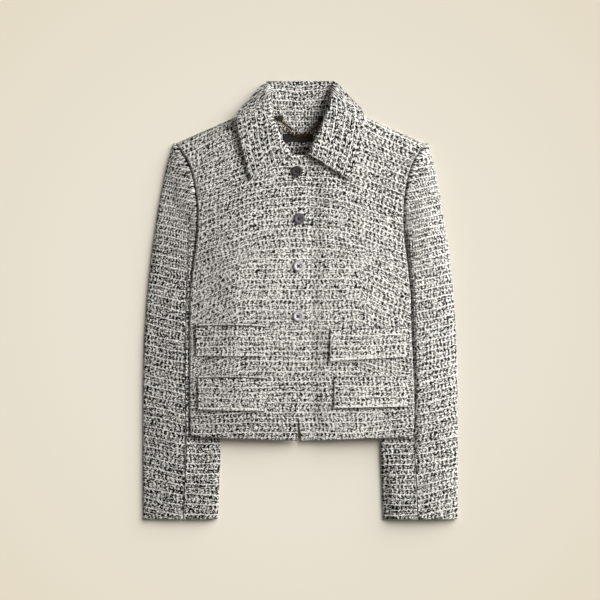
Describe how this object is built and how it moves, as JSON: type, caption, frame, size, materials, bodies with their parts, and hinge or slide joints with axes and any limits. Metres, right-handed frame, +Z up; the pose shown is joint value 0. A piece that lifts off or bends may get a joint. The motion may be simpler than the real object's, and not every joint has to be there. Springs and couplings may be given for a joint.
{
  "type": "tweed jacket",
  "caption": "Short tweed jacket laid flat on its back, buttoned, with a turned-down collar, pocket flaps, set-in sleeves and a hanger chain at the neck.",
  "frame": {"origin": "centre of the jacket's outline, on the surface it lies on", "axes": "+Z up off the surface, +Y from hem to collar, +X to the wearer's left"},
  "size_m": [0.5046, 0.7021, 0.033],
  "materials": {
    "tweed": "nubbly woven wool, matte",
    "black_woven": "close woven, dull",
    "shell": "polished smoke shell",
    "brass": "polished"
  },
  "bodies": {
    "root": {"back": "tweed", "back_neck_facing": "tweed", "collar": "tweed", "front_left": "tweed", "front_right": "tweed", "sleeve_right_top": "tweed", "sleeve_right_under": "tweed", "sleeve_left_top": "tweed", "sleeve_left_under": "tweed", "pocket_flap_right_upper": "tweed", "pocket_flap_right_lower": "tweed", "pocket_flap_left_upper": "tweed", "pocket_flap_left_lower": "tweed", "neck_label": "black_woven", "chain_tab_left": "black_woven", "chain_tab_right": "black_woven", "button_1": "shell", "button_2": "shell", "button_3": "shell", "button_4": "shell", "hanger_chain": "brass"}
  },
  "joints": []
}
